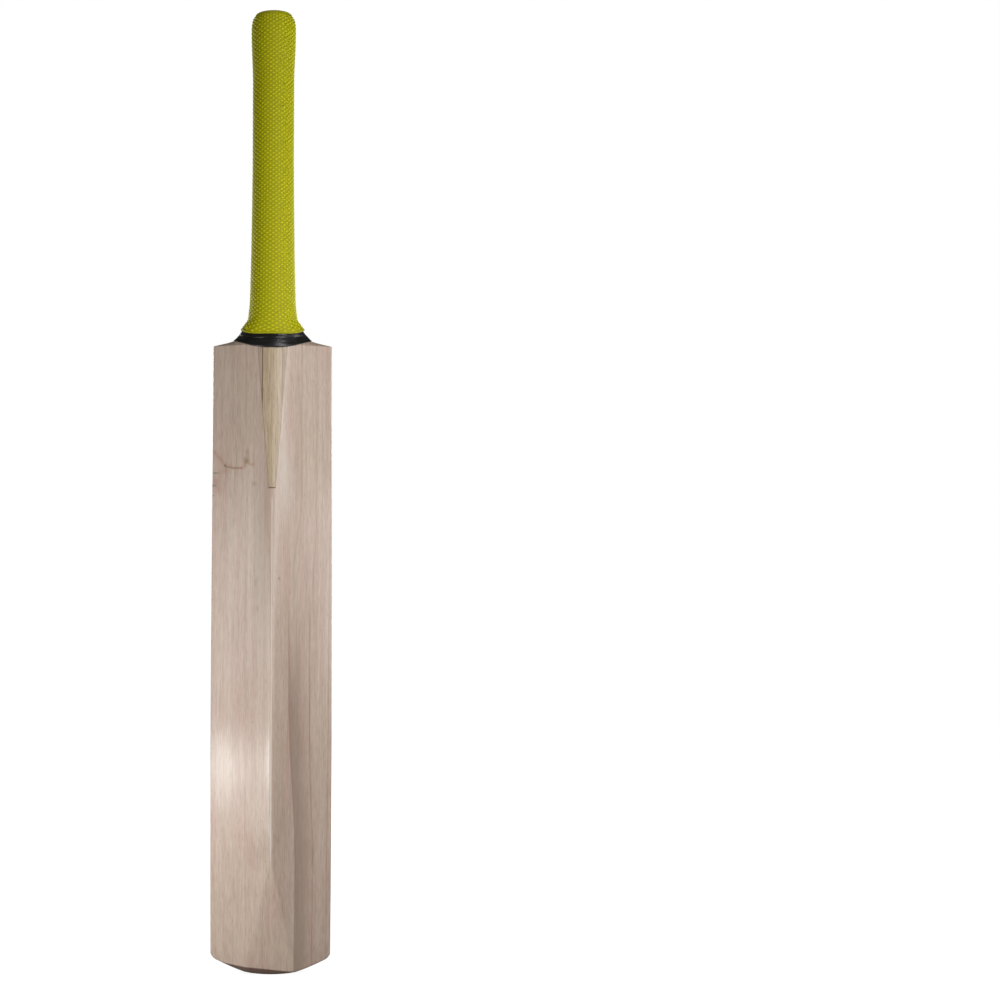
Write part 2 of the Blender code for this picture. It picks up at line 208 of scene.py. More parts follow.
edge_thickness = smooth_curve(EDGE_THICKNESS)
spine_depth = smooth_curve(SPINE_DEPTH)
crest_rounding = smooth_curve(CREST_ROUNDING)
facet_half_width = smooth_curve(FACET_HALF_WIDTH)
flank_hollow = smooth_curve(FLANK_HOLLOW)
throat_half_width = smooth_curve(THROAT)
handle_half_width = smooth_curve(HANDLE_HALF_WIDTH)
handle_half_depth = smooth_curve(HANDLE_HALF_DEPTH)
flank_share = smooth_curve(FLANK_SHARE)


def face_y(h):
    below = np.maximum(-h, 0.0)
    return FACE_AT_SHOULDER - FACE_LEAN * below - below**2 / (2 * BOW_RADIUS)


def half_width(h):
    """Half the width of the wood in front view."""
    share = (THROAT[0][0] - h) / (BLADE_LENGTH + THROAT[0][0])
    blade = BLADE_HALF_WIDTH_TOP + share * (BLADE_HALF_WIDTH_TOE - BLADE_HALF_WIDTH_TOP)
    above = np.where(h > EAR_TOP, handle_half_width(h), throat_half_width(h))
    return np.where(h > THROAT[0][0], above, blade)


def back_height(x, half, h):
    """How far the back stands behind the face: a hollow flank up to a rounded crest or a flat facet."""
    below = np.maximum(-h, 0.0)
    edge, spine = edge_thickness(below), spine_depth(below)
    rounding, hollow = crest_rounding(below), flank_hollow(below)

    def climb(distance):
        reach = np.hypot(half, rounding)
        return np.maximum(1 - np.hypot(distance, rounding) / reach, 0.0) ** hollow

    facet = facet_half_width(below)
    top = climb(facet - CREST_HALF_WIDTH * (1 - smooth_step(facet, CREST_HALF_WIDTH, FACET_FROM)))
    return edge + (spine - edge) * np.minimum(climb(x) / top, 1.0)


def blade_outline(q, h, half):
    """The right half of the blade's outline: face, corner, edge, bend, flank and crest."""
    face = face_y(h)
    below = np.maximum(-h, 0.0)
    edge, facet = edge_thickness(below), facet_half_width(below)
    across = np.clip(q / FACE_ENDS, 0, 1)
    turn = np.clip((q - FACE_ENDS) / (CORNER_ENDS - FACE_ENDS), 0, 1) * math.pi / 2
    x = (half - FACE_CORNER) * across + FACE_CORNER * np.sin(turn)
    y = FACE_CROWN * across**2 + FACE_CORNER * (1 - np.cos(turn))
    side = np.clip((q - CORNER_ENDS) / (EDGE_ENDS - CORNER_ENDS), 0, 1)
    y = y + (edge - BACK_CORNER - FACE_CROWN - FACE_CORNER) * side
    t = np.clip(q - EDGE_ENDS, 0, 1)
    landing = back_height(half - BACK_CORNER, half, h)
    bend_x = half - BACK_CORNER * t**2
    bend_y = (1 - t) ** 2 * (edge - BACK_CORNER) + 2 * t * (1 - t) * edge + t**2 * landing
    flank_x = facet + (half - facet - BACK_CORNER) * flank_share(q)
    flank_x = np.where(q > FLANK_ENDS, facet * (CREST - q), flank_x)
    x = np.where(q > BEND_ENDS, flank_x, np.where(q > EDGE_ENDS, bend_x, x))
    y = np.where(q > BEND_ENDS, back_height(x, half, h), np.where(q > EDGE_ENDS, bend_y, y))
    return x, face + y


def mixed_outline(q, h):
    """The blade's half outline turning into the handle's oval through the throat."""
    half = half_width(h)
    bx, by = blade_outline(q, h, half)
    angle = math.pi * q / CREST
    rx, ry = half * np.sin(angle), -handle_half_depth(h) * np.cos(angle)
    turned = smooth_step(h, ROUND_FROM, ROUND_BY)
    return (1 - turned) * bx + turned * rx, (1 - turned) * by + turned * ry


# Mixing the two outlines makes the throat a little narrow, so it is stretched back to its width.
THROAT_TABLE_H = np.linspace(ROUND_FROM, ROUND_BY, 120)
THROAT_TABLE_Q = np.linspace(0, CREST, 400)
throat_x = mixed_outline(THROAT_TABLE_Q[None, :], THROAT_TABLE_H[:, None])[0].max(axis=1)
THROAT_STRETCH = half_width(THROAT_TABLE_H) / throat_x


def skin(s, h):
    """Points on the wood in millimetres, at places s round the outline and heights h."""
    s, h = np.broadcast_arrays(np.asarray(s, float) % ROUND, np.asarray(h, float))
    q = CREST - np.abs(CREST - s)
    x, y = mixed_outline(q, h)
    x = x * np.interp(h, THROAT_TABLE_H, THROAT_STRETCH)
    return np.stack([np.where(s <= CREST, x, -x), y, h], axis=-1)


def skin_normals(s, h):
    reach = 0.05
    around = skin(s + reach, h) - skin(s - reach, h)
    upward = skin(s, h + reach) - skin(s, h - reach)
    normal = np.cross(around, upward)
    return normal / np.linalg.norm(normal, axis=-1, keepdims=True)


def off_skin(s, h, distance):
    """Points off the wood along its own normal. The distance may change from point to point."""
    distance = np.asarray(distance, float)[..., None]
    return skin(s, h) + skin_normals(s, h) * distance


def dome(s, degrees, top, distance):
    """Points on a domed end: the outline at the dome's foot, closing in towards its top."""
    angle = np.radians(degrees)
    foot = off_skin(s, np.full(np.broadcast(s, degrees).shape, DOME_FROM), distance)
    share = np.cos(angle) ** (2 * DOME_SQUARENESS)
    height = DOME_FROM + (top - DOME_FROM) * np.sin(angle)
    return np.stack([foot[..., 0] * share, foot[..., 1] * share, height + 0 * foot[..., 0]], axis=-1)


# ---------------------------------------------------------------- meshes


def in_metres(points):
    points = np.array(points, float).reshape(-1, 3)
    points[:, 2] -= HOLD_HEIGHT
    return points * MM


def new_object(name, points, faces, sharp_angle=40.0):
    """An object from points in millimetres and faces of point numbers, smooth but for its real edges."""
    mesh = bpy.data.meshes.new(name)
    mesh.from_pydata(in_metres(points).tolist(), [], [list(map(int, face)) for face in faces])
    made = bpy.data.objects.new(name, mesh)
    bpy.context.scene.collection.objects.link(made)
    turn_outward(mesh)
    smooth(made, sharp_angle)
    return made


def turn_outward(mesh):
    bm = bmesh.new()
    bm.from_mesh(mesh)
    bmesh.ops.recalc_face_normals(bm, faces=bm.faces)
    bm.to_mesh(mesh)
    bm.free()


def smooth(obj, sharp_angle):
    obj.data.shade_smooth()
    obj.data.set_sharp_from_angle(angle=math.radians(sharp_angle))


def band_faces(rows, columns, first=0, ring_closed=False):
    """Quads between neighbouring rows of points; a closed band also joins its last row to its first."""
    faces = []
    last = rows if ring_closed else rows - 1
    for j in range(last):
        low, high = first + j * columns, first + (j + 1) % rows * columns
        for i in range(columns):
            k = (i + 1) % columns
            faces.append((low + i, low + k, high + k, high + i))
    return faces


def apply_modifiers(obj):
    """Replace the mesh by what its modifiers make of it, and drop the modifiers."""
    graph = bpy.context.evaluated_depsgraph_get()
    mesh = bpy.data.meshes.new_from_object(obj.evaluated_get(graph))
    obj.modifiers.clear()
    obj.data = mesh


def carve(obj, cutter, operation):
    modifier = obj.modifiers.new("carve", "BOOLEAN")
    modifier.operation = operation
    modifier.solver = "EXACT"
    modifier.object = cutter
    apply_modifiers(obj)
    bpy.data.objects.remove(cutter)


def prism(name, profile, low, high):
    """A solid of one outline, given at its lowest and highest height, as a cutter."""
    points = [(x, y, low) for x, y in profile[0]] + [(x, y, high) for x, y in profile[1]]
    count = len(profile[0])
    faces = band_faces(2, count) + [range(count), range(count, 2 * count)]
    return new_object(name, points, faces)


def splice_wedge(widened, top):
    """The V of the splice, widened by a little on each side."""
    low = SPLICE_TIP - widened

    def outline(h):
        half = SPLICE_HALF_WIDTH_TOP + SPLICE_SLOPE * h + widened
        return ((-half, -FAR), (half, -FAR), (half, FAR), (-half, FAR))

    return prism("wedge", (outline(low), outline(top)), low, top)


def box_cutter(x, y, h):
    corners = ((x[0], y[0]), (x[1], y[0]), (x[1], y[1]), (x[0], y[1]))
    return prism("box", (corners, corners), h[0], h[1])


def outline_places(thinning=1):
    """Places s all the way round the outline, with every stretch's own spacing."""
    right = []
    for low, high, count in STRETCHES:
        count = max(2, count // thinning)
        right.append(np.linspace(low, high, count, endpoint=False))
    right = np.concatenate(right)
    left = ROUND - right[:0:-1]
    return np.concatenate([right, [CREST], left])


def throat_heights(count):
    """Heights from the ears' top down over the shoulders, closest together where the throat flares."""
    low = THROAT[0][0]
    return low + (EAR_TOP - low) * np.linspace(1, 0, count) ** 2


def toe_rise(x):
    """How far the toe's arc, with its rounded corners, has risen away from the middle."""
    half = BLADE_HALF_WIDTH_TOE
    radius = (half**2 + TOE_RISE**2) / (2 * TOE_RISE)
    arc = radius - np.sqrt(radius**2 - np.minimum(np.abs(x), half) ** 2)
    return arc + TOE_CORNER_RISE * smooth_step(np.abs(x), half - TOE_CORNER_WIDTH, half)


def bent_to_toe(s, h, inset=0.0):
    """A row of the blade that bends towards the toe's arc and leans square to the face there."""
    bend = smooth_step(-h, BLADE_LENGTH - TOE_REACH, BLADE_LENGTH)
    flat = skin(s, h)
    rise = bend * (toe_rise(flat[..., 0]) - toe_lean() * (flat[..., 1] - face_y(h)))
    return off_skin(s, h + rise, -inset)


def toe_lean():
    return FACE_LEAN + BLADE_LENGTH / BOW_RADIUS


def make_blade():
    s = outline_places()
    count = len(s)
    rows = [skin(s, h) for h in throat_heights(THROAT_ROWS)]
    start = BLADE_LENGTH - TOE_REACH
    heights = list(np.arange(-THROAT[0][0] + 1.5, start, BLADE_ROW))
    heights += list(np.arange(start, BLADE_LENGTH - TOE_EDGE_RADIUS, TOE_ROW))
    rows += [bent_to_toe(s, -distance) for distance in heights]
    for degrees in range(0, 91, 15):
        angle = math.radians(degrees)
        drop = TOE_EDGE_RADIUS * (1 - math.sin(angle))
        inset = TOE_EDGE_RADIUS * (1 - math.cos(angle))
        rows.append(bent_to_toe(s, drop - BLADE_LENGTH, inset))
    points = list(np.concatenate(rows))
    faces = band_faces(len(rows), count)
    faces.append(range(count))
    faces += fill_toe(points, (len(rows) - 1) * count, count)
    blade = new_object("willow_blade", points, faces, WOOD_SHARP_ANGLE)
    carve(blade, splice_wedge(GLUED_GAP / 2, EAR_TOP + 20), "DIFFERENCE")
    smooth(blade, WOOD_SHARP_ANGLE)
    return blade


def fill_toe(points, first, count):
    """Close the toe with strips from front to back, whose inner points lie on the toe's arc."""
    strips = 6
    half = count // 2
    side = half // 2
    faces = []
    end = face_y(-BLADE_LENGTH)
    for sign in (1, -1):
        columns = []
        for i in range(side):
            a = first + (sign * i) % count
            b = first + (sign * (half - i)) % count
            column = [a]
            for k in range(1, strips):
                x, y, _ = points[a] + (points[b] - points[a]) * k / strips
                h = toe_rise(x) - BLADE_LENGTH - toe_lean() * (y - end)
                if i == 0 and sign == -1:
                    column.append(middle[k])
                    continue
                points.append(np.array([x, y, h]))
                column.append(len(points) - 1)
            column.append(b)
            if i == 0:
                middle = column
            columns.append(column)
        for low, high in zip(columns, columns[1:]):
            for k in range(strips):
                faces.append((low[k], low[k + 1], high[k + 1], high[k]))
        last = columns[-1]
        tip = first + (sign * side) % count
        faces.append(last + [tip])
    return faces


def handle_blank():
    """The whole handle before it is split into strips."""
    s = outline_places(thinning=2)
    count = len(s)
    heights = list(np.arange(SPLICE_TIP + GAP / 2, THROAT[0][0] - 1.0, BLADE_ROW))
    heights += list(throat_heights(24)[::-1])
    heights += list(np.linspace(HANDLE_FROM, DOME_FROM, 16))
    rows = [skin(s, h) for h in heights]
    rows += [dome(s, float(degrees), CANE_TOP, 0.0) for degrees in (10, 20, 30, 40, 50, 60, 70, 80, 86)]
    faces = band_faces(len(rows), count)
    last = (len(rows) - 1) * count
    faces += [range(count), range(last, last + count)]
    blank = new_object("blank", np.concatenate(rows), faces)
    tenon = splice_wedge(-GLUED_GAP / 2, EAR_TOP + GAP)
    collar = box_cutter((-FAR, FAR), (-FAR, FAR), (EAR_TOP + GAP / 2, HANDLE_TOP + FAR))
    carve(tenon, collar, "UNION")
    carve(blank, tenon, "INTERSECT")
    return blank


def make_outer_canes():
    """The six strips of cane that show on the face and the back of the splice."""
    blank = handle_blank()
    inner = SPRING_THICKNESS / 2 + GAP
    layers = {"face": (-FAR, SPRING_PLANES[0] - inner), "back": (SPRING_PLANES[-1] + inner, FAR)}
    line, gap = CANE_CENTRE_HALF_WIDTH, GLUED_GAP / 2
    columns = {"left": (-FAR, -line - gap), "centre": (-line + gap, line - gap), "right": (line + gap, FAR)}
    strips = {}
    for layer, y in layers.items():
        for column, x in columns.items():
            strip = bpy.data.objects.new(f"cane_strip_{layer}_{column}", blank.data.copy())
            bpy.context.scene.collection.objects.link(strip)
            carve(strip, box_cutter(x, y, (SPLICE_TIP - FAR, HANDLE_TOP + FAR)), "INTERSECT")
            smooth(strip, WOOD_SHARP_ANGLE)
            strips[f"cane_{layer}_{column}"] = strip
    bpy.data.objects.remove(blank)
    return strips


def rim_height(s, rim, distance):
    """The height of an arched rim at each place round a sleeve, found step by step because the
    sleeve's width there depends on it."""
    middle, rise, half, power = rim
    h = middle
    for _ in range(RIM_ROUNDS):
        x = off_skin(s, h, distance)[:, 0]
        h = 0.6 * h + 0.4 * (middle + rise * np.minimum(np.abs(x) / half, RIM_SPAN) ** power)
    return h


def sleeve(name, outer, inner, sharp_angle):
    """A closed sleeve from its outer rows and its inner rows, both from the bottom up."""
    rows = list(outer) + list(inner)[::-1]
    count = len(rows[0])
    faces = band_faces(len(rows), count, ring_closed=True)
    return new_object(name, np.concatenate(rows), faces, sharp_angle)


def ripple(s, h, waves, seed):
    """A gentle repeatable unevenness between -1 and 1: a few crossed waves round and along the handle."""
    generator = np.random.default_rng(seed)
    total = np.zeros(np.broadcast(s, h).shape)
    for _ in range(waves):
        around = generator.integers(1, 9)
        along = generator.uniform(0.15, 0.9)
        phase = generator.uniform(0, 2 * math.pi)
        total = total + np.sin(2 * math.pi * around * s / ROUND + along * h + phase)
    return total / math.sqrt(waves)


def make_tape(name, near, rim, seed):
    """One winding of the throat tape, with its turns' edges, creases and slightly uneven rim."""
    s = np.linspace(0, ROUND, TAPE_COLUMNS, endpoint=False)
    bottom = rim_height(s, rim, near) + TAPE_RIM_WOBBLE * ripple(s, 0 * s, 4, seed)
    outer = []
    for k in range(TAPE_ROWS + 1):
        h = bottom + (TAPE_TOP - bottom) * (k / TAPE_ROWS) ** TAPE_ROW_SPREAD
        turn = (h / TAPE_TURN_HEIGHT + s / ROUND + 0.06 * ripple(s, 0 * h, 3, seed + 1)) % 1
        lap = TAPE_LAP * smooth_step(turn, 0.0, 0.08) * (1 - 0.6 * turn)
        crease = TAPE_CREASE * ripple(s, h, 7, seed + 2)
        rounding = TAPE_ROUNDING * (1 - smooth_step(h - bottom, 0.0, 0.8))
        outer.append(off_skin(s, h, near + TAPE_THICKNESS - rounding + lap + crease - TAPE_SUNK))
    inner = [off_skin(s, h, near) for h in (bottom + 0.1, TAPE_TOP)]
    return sleeve(name, outer, inner, TAPE_SHARP_ANGLE)


def make_twine():
    """The thread wound round the cane: one ridge that climbs as it goes round."""
    s = np.linspace(0, ROUND, TWINE_COLUMNS, endpoint=False)
    rows = []
    for h in np.arange(TWINE_BOTTOM, TWINE_TOP, TWINE_PITCH / TWINE_ROWS_A_TURN):
        phase = (h / TWINE_PITCH + s / ROUND) % 1
        ridge = TWINE_VALLEY + (1 - TWINE_VALLEY) * np.sqrt(1 - (2 * phase - 1) ** 2 * 0.85)
        rows.append(off_skin(s, h, GAP + TWINE_THICKNESS * ridge))
    inner = [off_skin(s, h, GAP) for h in (TWINE_BOTTOM, TWINE_TOP)]
    return sleeve("twine_winding", rows, inner, TWINE_SHARP_ANGLE)


def grip_bore(h):
    """How far the inside of the grip stands off the wood: over two tapes low down, the twine above."""
    over_tape = 3 * GAP + 2 * TAPE_THICKNESS
    over_twine = 2 * GAP + TWINE_THICKNESS
    return over_tape + (over_twine - over_tape) * smooth_step(h, TAPE_TOP + 1.0, HANDLE_FROM)


def grip_skin(h):
    return grip_bore(h) + GRIP_THICKNESS + CUFF_EXTRA * smooth_step(h, CUFF_FROM, CUFF_BY)


def grip_point(s, travel, depth, rim):
    """A point of the grip's outside. Travel is the height it would have with a level rim, and past
    the dome's foot the way on over the dome. Depth is how far it lies under the tops of the diamonds."""
    travel = np.asarray(travel, float)
    fade = 1 - smooth_step(travel, GRIP_RIM[0], GRIP_RIM[0] + RIM_FADE)
    h = np.minimum(travel + (rim - GRIP_RIM[0]) * fade, DOME_FROM)
    below = off_skin(s, h, grip_skin(h) - depth)
    over = dome(s, dome_degrees(travel), HANDLE_TOP, grip_skin(DOME_FROM) - depth)
    over[..., 2] -= depth * np.sin(np.radians(dome_degrees(travel)))
    return np.where((travel > DOME_FROM)[..., None], over, below)


def dome_degrees(travel):
    """The dome's angle after travelling on from its foot, at an even pace over its rounded shoulder."""
    return DOME_TURN * np.clip((travel - DOME_FROM) / DOME_WAY, 0, 1) ** DOME_PACE


def make_grip():
    """The rubber grip: a lattice of raised diamonds between a plain bead and a smooth crown."""
    columns = 2 * NUBS_AROUND
    s_all = np.arange(columns) * ROUND / columns
    rims = rim_height(s_all, GRIP_RIM, grip_skin(GRIP_RIM[0]))
    first, last = GRIP_RIM[0] + GRIP_BEAD, DOME_FROM + NUBS_PAST_DOME_FOOT
    rows = int(round((last - first) / NUB_ROW / 2)) * 2
    row = (last - first) / rows
    k, j = np.meshgrid(np.arange(columns), np.arange(rows + 1))
    corner = ((k + j) % 2 == 1) | (j == 0) | (j == rows)
    numbers = np.full(k.shape, -1)
    numbers[corner] = np.arange(corner.sum())
    valley = grip_point(k * ROUND / columns, first + j * row, NUB_HEIGHT, rims[k])[corner]
    ks, js = k[~corner], j[~corner]
    points = [valley] + nub_rings(ks, js, columns, (first, last, row), rims)
    base, nubs = len(valley), len(ks)
    faces = nub_faces(numbers, ks, js, base)
    for i in range(0, columns, 2):
        for border, inside in ((0, 1), (rows, rows - 1)):
            edge = [numbers[border, n % columns] for n in (i - 1, i, i + 1)]
            faces.append((*edge, numbers[inside, i]))

    # The plain rings close the sleeve: up the outside from the rim, over the crown and down inside.
    total = tops_end = base + 8 * nubs
    placed = []
    for ring in bead_rings(s_all, rims) + [None] + crown_rings(s_all, rims, last):
        if ring is None:
            placed.append((numbers[0], numbers[rows]))
            continue
        points.append(ring)
        placed.append((np.arange(total, total + columns),) * 2)
        total += columns
    for lower, upper in zip(placed, placed[1:] + placed[:1]):
        a, b = lower[1], upper[0]
        for i in range(columns):
            n = (i + 1) % columns
            faces.append((a[i], a[n], b[n], b[i]))
    grip = new_object("grip_rubber", np.concatenate(points), faces, GRIP_SHARP_ANGLE)
    # The diamonds' tops are marked so that the material can paint the valleys between them darker, as
    # painted shade.
    height = np.zeros(len(grip.data.vertices), np.float32)
    height[tops_end - 4 * nubs : tops_end] = 1.0
    raised = grip.data.attributes.new("raised", "FLOAT", "POINT")
    raised.data.foreach_set("value", height)
    return grip


def nub_rings(ks, js, columns, span, rims):
    """The four points of every diamond's foot, then those of its top, at columns ks and rows js."""
    first, last, row = span
    shapes = []
    for share_s, share_row, sunk in NUB_RINGS:
        ring = []
        for ds, dt in ((-1, 0), (0, -1), (1, 0), (0, 1)):
            here = first + (js + dt * share_row) * row
            fade = smooth_step(here, last - NUB_FADE, last)
            depth = NUB_HEIGHT * (sunk + (1 - sunk) * fade)
            ring.append(grip_point((ks + ds * share_s) * ROUND / columns, here, depth, rims[ks]))
        shapes.append(np.stack(ring, axis=1).reshape(-1, 3))
    return shapes


def nub_faces(numbers, ks, js, base):
    """Each diamond's flat top, its sides, and the slopes from its foot to its cell's four corners."""
    columns = numbers.shape[1]
    foot = base + np.arange(4 * len(ks)).reshape(-1, 4)
    top = foot + 4 * len(ks)
    corners = np.stack([numbers[js, (ks - 1) % columns], numbers[js - 1, ks],
                        numbers[js, (ks + 1) % columns], numbers[js + 1, ks]], axis=1)
    faces = [tuple(face) for face in top]
    for low, high in ((corners, foot), (foot, top)):
        for a in range(4):
            b = (a + 1) % 4
            sides = np.stack([low[:, a], low[:, b], high[:, b], high[:, a]], 1)
            faces += [tuple(face) for face in sides]
    return faces


def bead_rings(s, rim):
    """The inside of the grip from its crown down to its rim, then the bead round the rim."""
    heights = [*np.linspace(DOME_FROM, 60.0, 6), HANDLE_FROM, 24.0, 18.0]
    inside = [dome(s, degrees, CANE_TOP + GAP, grip_bore(DOME_FROM)) for degrees in (60.0, 40.0, 20.0)]
    inside += [off_skin(s, h, grip_bore(h)) for h in heights]
    full = grip_skin(GRIP_RIM[0])
    return inside + [off_skin(s, rim + rise, full - inset) for rise, inset in BEAD_PROFILE]


def crown_rings(s, rim, last):
    """The smooth crown on from the diamonds, over the lip of the hole and back inside."""
    crown = [grip_point(s, last + step, NUB_HEIGHT * 0.6, rim) for step in CROWN_STEPS]
    full = handle_half_width(DOME_FROM) + grip_skin(DOME_FROM)
    foot = off_skin(s, DOME_FROM, grip_skin(DOME_FROM))
    lip = []
    for radius, drop in LIP_PROFILE:
        share = radius / full
        z = np.full(len(s), HANDLE_TOP - drop)
        lip.append(np.stack([foot[:, 0] * share, foot[:, 1] * share, z], axis=-1))
    return crown + lip


# ---------------------------------------------------------------- materials


class Number:
    """One output of a shader node, which plain arithmetic works on."""

    def __init__(self, look, socket):
        self.look = look
        self.socket = socket

    def __add__(self, other):
        return self.look.math("ADD", self, other)

    def __sub__(self, other):
        return self.look.math("SUBTRACT", self, other)

    def __rsub__(self, other):
        return self.look.math("SUBTRACT", other, self)

    def __mul__(self, other):
        return self.look.math("MULTIPLY", self, other)

    def __neg__(self):
        return self.look.math("MULTIPLY", self, -1.0)

    def __abs__(self):
        return self.look.math("ABSOLUTE", self)

    __radd__ = __add__
    __rmul__ = __mul__


class Look:
    """A procedural material: its Principled shader and short names for the nodes that feed it."""

    def __init__(self, name, **sockets):
        self.material = bpy.data.materials.new(name)
        self.material.use_nodes = True
        self.tree = self.material.node_tree
        self.shader = self.tree.nodes["Principled BSDF"]
        for socket, value in sockets.items():
            self.shader.inputs[socket.replace("_", " ")].default_value = value
        self.coordinates = self.node("ShaderNodeTexCoord").outputs["Object"]

    def node(self, kind, **settings):
        made = self.tree.nodes.new(kind)
        for name, value in settings.items():
            setattr(made, name, value)
        return made

    def feed(self, socket, value):
        if isinstance(value, Number):
            self.tree.links.new(value.socket, socket)
        elif isinstance(value, tuple):
            socket.default_value = (*value, 1.0)[: len(socket.default_value)]
        else:
            socket.default_value = value

    def math(self, operation, *values):
        made = self.node("ShaderNodeMath", operation=operation)
        for socket, value in zip(made.inputs, values):
            self.feed(socket, value)
        return Number(self, made.outputs[0])

    def smooth(self, value, low, high):
        """0 below low, 1 above high, and a smooth turn between."""
        made = self.node("ShaderNodeMapRange", interpolation_type="SMOOTHSTEP")
        self.feed(made.inputs["Value"], value)
        made.inputs["From Min"].default_value = low
        made.inputs["From Max"].default_value = high
        return Number(self, made.outputs["Result"])

    def near(self, distance, width):
        """1 where the distance is 0, down to 0 at the width either side."""
        return 1.0 - self.smooth(abs(distance), 0.0, width)

    def place(self):
        """x, y and the height h of the shaded point, in millimetres."""
        split = self.node("ShaderNodeSeparateXYZ")
        self.tree.links.new(self.coordinates, split.inputs[0])
        x, y, z = (Number(self, output) * (1 / MM) for output in split.outputs)
        return x, y, z + HOLD_HEIGHT

    def noise(self, periods, detail=2.0, seed=0.0):
        """Noise about 0.5. Its features are about as long, in millimetres, as the periods along x, y, z."""
        scaled = self.node("ShaderNodeMapping", vector_type="POINT")
        self.tree.links.new(self.coordinates, scaled.inputs["Vector"])
        scaled.inputs["Scale"].default_value = [1 / (period * MM) for period in periods]
        scaled.inputs["Location"].default_value = (seed, 2 * seed, 3 * seed)
        made = self.node("ShaderNodeTexNoise")
        made.inputs["Scale"].default_value = 1.0
        made.inputs["Detail"].default_value = detail
        self.tree.links.new(scaled.outputs[0], made.inputs["Vector"])
        return Number(self, made.outputs["Fac"])

    def grain(self, edge, across, along, detail, seed):
        """Noise drawn out along the wood: it changes across the bat, or through its depth on its edges."""
        flat = self.noise((across, 30 * across, along), detail, seed)
        side = self.noise((30 * across, across, along), detail, seed + 0.5)
        return flat + (side - flat) * edge

    def ramp(self, value, stops):
        """A grey that runs smoothly through stops of (place, grey)."""
        made = self.node("ShaderNodeValToRGB")
        elements = made.color_ramp.elements
        while len(elements) < len(stops):
            elements.new(1.0)
        for element, (place, grey) in zip(elements, stops):
            element.position = place
            element.color = (grey, grey, grey, 1.0)
        self.feed(made.inputs["Fac"], value)
        return Number(self, made.outputs["Color"])

    def mix(self, share, first, second):
        made = self.node("ShaderNodeMix", data_type="RGBA")
        self.feed(made.inputs["Factor"], share)
        self.feed(made.inputs[6], first)
        self.feed(made.inputs[7], second)
        return Number(self, made.outputs[2])

    def layers(self, colour, *layers):
        """Lay colours over one, each by its share where its pattern rises from low to high."""
        for pattern, low, high, share, over in layers:
            colour = self.mix(self.smooth(pattern, low, high) * share, colour, srgb(*over))
        return colour

    def finish(self, colour, roughness, height=None, bump_mm=0.05):
        self.feed(self.shader.inputs["Base Color"], colour)
        self.feed(self.shader.inputs["Roughness"], roughness)
        if height is not None:
            bump = self.node("ShaderNodeBump")
            bump.inputs["Distance"].default_value = bump_mm * MM
            self.feed(bump.inputs["Height"], height)
            self.tree.links.new(bump.outputs[0], self.shader.inputs["Normal"])
        return self.material


def srgb(red, green, blue):
    """A linear colour from the 0 to 255 values that a screen shows."""
    return tuple(((value / 255 + 0.055) / 1.055) ** 2.4 for value in (red, green, blue))


# Growth rings that run straight: where each line crosses the blade in millimetres, and how dark it is.
BACK_RINGS = ((-46, 0.2), (-5, 0.2), (8, 0.5), (15, 0.25), (24, 0.55), (34.8, 0.6), (43, 0.45))
FACE_RINGS = ((-43, 0.9), (-31, 1.0), (-19, 0.9), (-7, 0.7), (13, 0.7), (25, 0.9), (36, 0.8))
RING_SPAN = 60.0
EDGE_SPREAD = (BLADE_HALF_WIDTH_TOE - BLADE_HALF_WIDTH_TOP) / BLADE_LENGTH

# Lines on the back's right side that wander: (place at the top, how far it moves, between which
# depths below the shoulder, first and last depth where it shows, half width, how dark it is). The
# wood is darker beyond one of them.
DARKER_BAND_LINE = (-15.2, -6.2, 300, 460, 215, 600, 1.1, 0.7)
WANDERING_LINES = (
    (-25.7, 6.9, 130, 205, -40, 250, 0.8, 0.5),
    (-39.0, 2.5, 150, 210, -40, 250, 0.7, 0.4),
    DARKER_BAND_LINE,
    (-33.5, -3.6, 340, 460, 205, 600, 0.9, 0.65),
    (-50.4, 0.6, 200, 500, 150, 600, 0.8, 0.5),
)


def rings(look, across, lines):
    """Each ring darkens slowly up to its line and ends sharply behind it."""
    stops = [(0.0, 0.0)]
    for x, dark in lines:
        for offset, share in ((-3.2, 0.0), (-0.9, 0.3), (-0.2, 1.0), (0.7, 0.0)):
            stops.append(((x + offset + RING_SPAN) / (2 * RING_SPAN), dark * share))
    return look.ramp((across + RING_SPAN) * (0.5 / RING_SPAN), stops)


def wandering_line(look, x, below, line):
    top, move, start, end, first, last, width, dark = line
    off = x - top - look.smooth(below, start, end) * move
    shows = look.smooth(below, first, first + 45) * (1.0 - look.smooth(below, last - 45, last))
    return look.near(off, width) * shows * dark


def spot(look, x, h, centre, size):
    """1 at a soft oval spot's centre, falling to 0 at its rim."""
    dx, dh = (x - centre[0]) * (1 / size[0]), (h - centre[1]) * (1 / size[1])
    return 1.0 - look.smooth(look.math("SQRT", dx * dx + dh * dh), 0.0, 1.0)


def stroke(look, x, h, points, width):
    """A thin line through a few points, as the shade of its nearest stretch."""
    total = 0.0
    for (x0, h0), (x1, h1) in zip(points, points[1:]):
        length = (x1 - x0) ** 2 + (h1 - h0) ** 2
        along = ((x - x0) * (x1 - x0) + (h - h0) * (h1 - h0)) * (1 / length)
        along = look.math("MINIMUM", look.math("MAXIMUM", along, 0.0), 1.0)
        dx, dh = x - x0 - along * (x1 - x0), h - h0 - along * (h1 - h0)
        total = look.math("MAXIMUM", total, look.near(look.math("SQRT", dx * dx + dh * dh), width))
    return total


